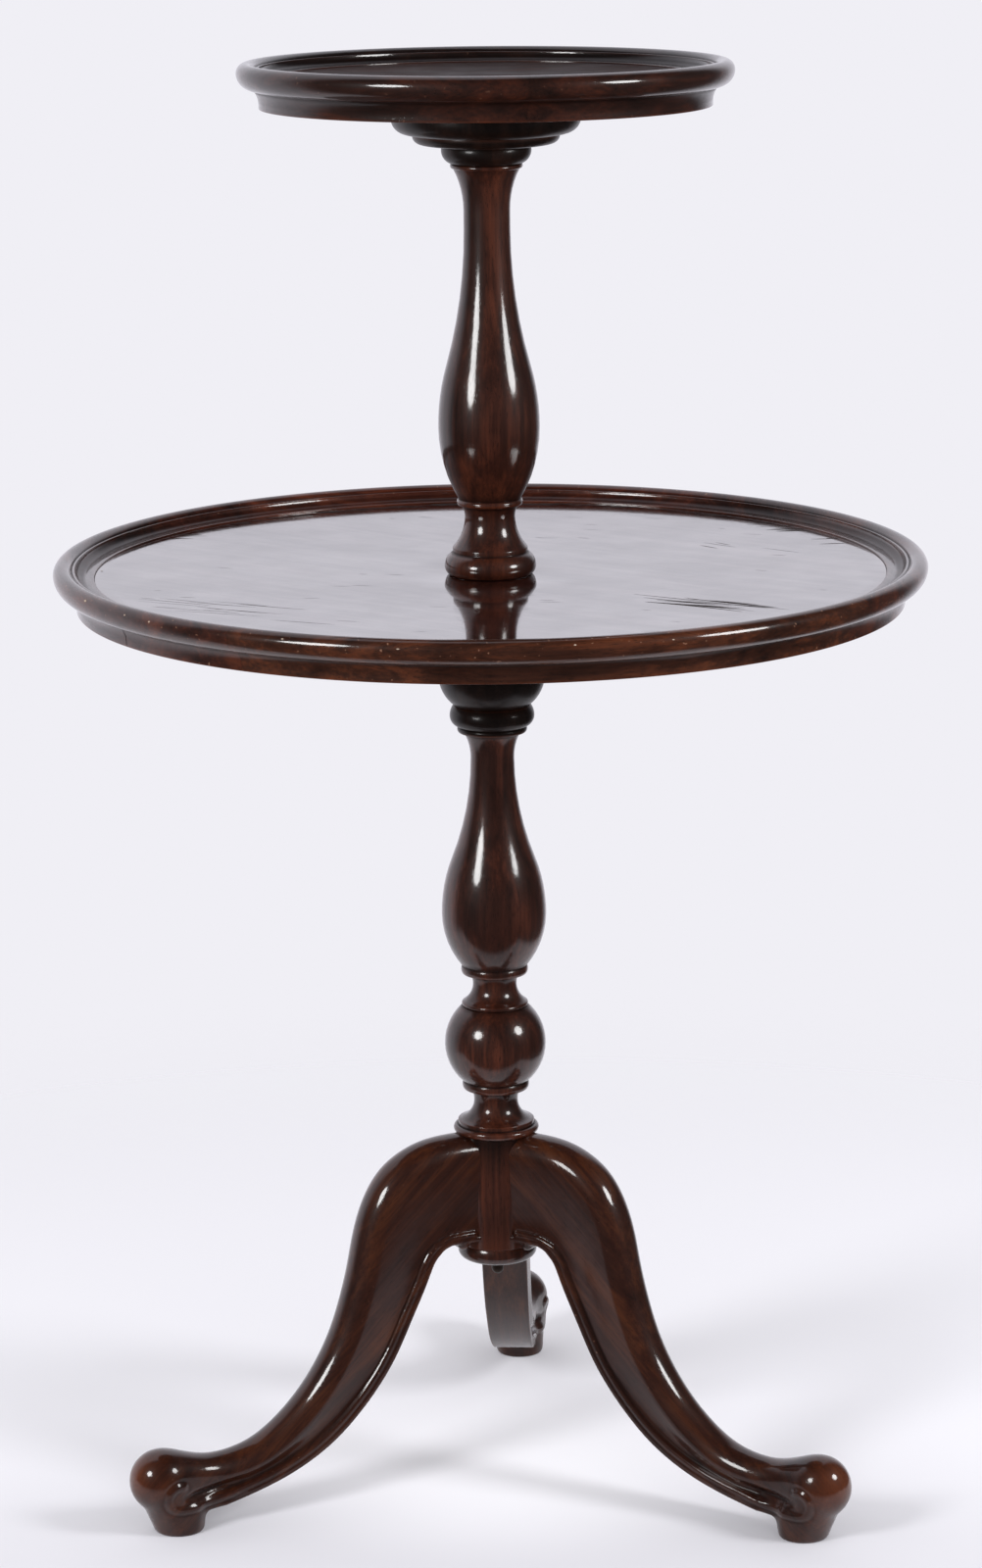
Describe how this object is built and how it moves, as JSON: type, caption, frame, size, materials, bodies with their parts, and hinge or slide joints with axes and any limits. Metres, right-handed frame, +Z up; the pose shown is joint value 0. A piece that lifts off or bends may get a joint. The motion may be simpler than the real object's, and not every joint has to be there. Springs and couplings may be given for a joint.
{
  "type": "tiered side table",
  "caption": "Tripod table with two round revolving trays with moulded rims on a turned pillar above carved cabriole legs, in dark polished mahogany.",
  "frame": {"origin": "on the floor, on the pillar's axis", "axes": "+Z up along the pillar, +Y towards the back leg, the open side between two legs faces -Y"},
  "size_m": [0.56, 0.56, 0.9364],
  "materials": {
    "column_mahogany": "turned mahogany, dark red-brown French polish, high gloss",
    "leg_mahogany": "carved mahogany, dark red-brown French polish rubbed paler on the toe knobs",
    "hub_mahogany": "turned mahogany, dark polish, satin on the hidden faces",
    "tray_mahogany": "flat mahogany board with straight grain, worn gloss polish with scratches",
    "rim_mahogany": "moulded mahogany, gloss polish with small dents and rubbed edges",
    "iron_screw": "darkened iron"
  },
  "bodies": {
    "stand": {"lower_column": "column_mahogany", "upper_column": "column_mahogany", "base_disc": "column_mahogany", "base_disc_screw": "iron_screw", "leg_back": "leg_mahogany", "leg_left": "leg_mahogany", "leg_right": "leg_mahogany"},
    "lower_tier": {"lower_hub": "hub_mahogany", "lower_flange": "hub_mahogany", "lower_flange_screws": "iron_screw", "lower_board": "tray_mahogany", "lower_rim_1": "rim_mahogany", "lower_rim_2": "rim_mahogany", "lower_rim_3": "rim_mahogany", "lower_rim_4": "rim_mahogany"},
    "upper_tier": {"upper_hub": "hub_mahogany", "upper_flange": "hub_mahogany", "upper_flange_screws": "iron_screw", "upper_board": "tray_mahogany", "upper_rim_1": "rim_mahogany", "upper_rim_2": "rim_mahogany", "upper_rim_3": "rim_mahogany", "upper_rim_4": "rim_mahogany"}
  },
  "joints": [
    {"name": "lower_tier_turn", "type": "hinge", "parent": "stand", "child": "lower_tier", "pos_m": [0, 0, 0.5916], "axis": [0, 0, 1], "continuous": true},
    {"name": "upper_tier_turn", "type": "hinge", "parent": "stand", "child": "upper_tier", "pos_m": [0, 0, 0.9079], "axis": [0, 0, 1], "continuous": true}
  ]
}
